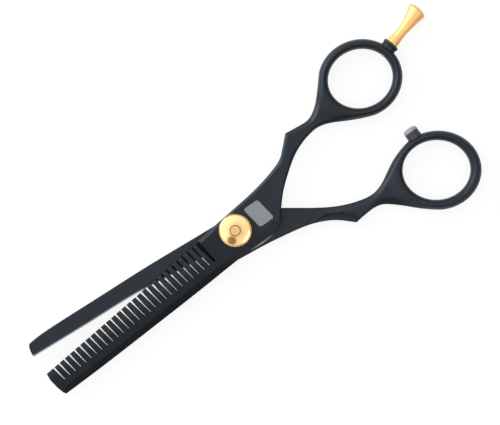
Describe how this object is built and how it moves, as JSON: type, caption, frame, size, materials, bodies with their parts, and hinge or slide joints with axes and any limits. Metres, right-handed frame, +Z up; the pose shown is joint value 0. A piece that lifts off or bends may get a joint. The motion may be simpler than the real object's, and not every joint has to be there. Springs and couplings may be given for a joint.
{
  "type": "hairdressing thinning shears",
  "caption": "Thinning shears with a toothed blade, a plain blade, two finger rings, a screw-in finger rest, a rubber bumper and a knurled tension dial at the pivot.",
  "frame": {"origin": "where the pivot axis meets the surface that the shears lie on, which is the underside of the pivot post's head", "axes": "+X from the pivot towards the finger rings, +Y towards the ring that carries the finger rest, +Z up out of the surface, along the pivot axis"},
  "size_m": [0.1677, 0.0649, 0.0095],
  "materials": {
    "black_coated_steel": "satin",
    "gold_metal": "polished",
    "nylon": "matte",
    "spring_steel": "satin",
    "black_rubber": "satin",
    "bumper_rubber": "satin"
  },
  "bodies": {
    "finger_half": {"comb_half": "black_coated_steel", "pivot_bush": "nylon", "glide_washer": "nylon", "finger_rest": "gold_metal", "rest_washer": "black_rubber"},
    "thumb_half": {"plain_half": "black_coated_steel", "pivot_post": "gold_metal", "spring_washer": "spring_steel", "bumper": "bumper_rubber", "bumper_pin": "spring_steel"},
    "click_stack": {"click_plate": "spring_steel"},
    "dial": {"tension_dial": "gold_metal"}
  },
  "joints": [
    {"name": "pivot", "type": "hinge", "parent": "finger_half", "child": "thumb_half", "pos_m": [0, 0, 0], "axis": [0, 0, -1], "range_deg": [-8.3, 120]},
    {"name": "click_plate_slide", "type": "slide", "parent": "thumb_half", "child": "click_stack", "axis": [0, 0, 1], "range_m": [-0.00025, 0.0005], "deforming": ["spring_washer"]},
    {"name": "dial_turn", "type": "hinge", "parent": "click_stack", "child": "dial", "pos_m": [0, 0, 0], "axis": [0, 0, 1], "range_deg": [-180, 360]}
  ],
  "couplings": [
    {"joint": "dial_turn", "follows": "click_plate_slide", "rad_per_m": 12566}
  ]
}
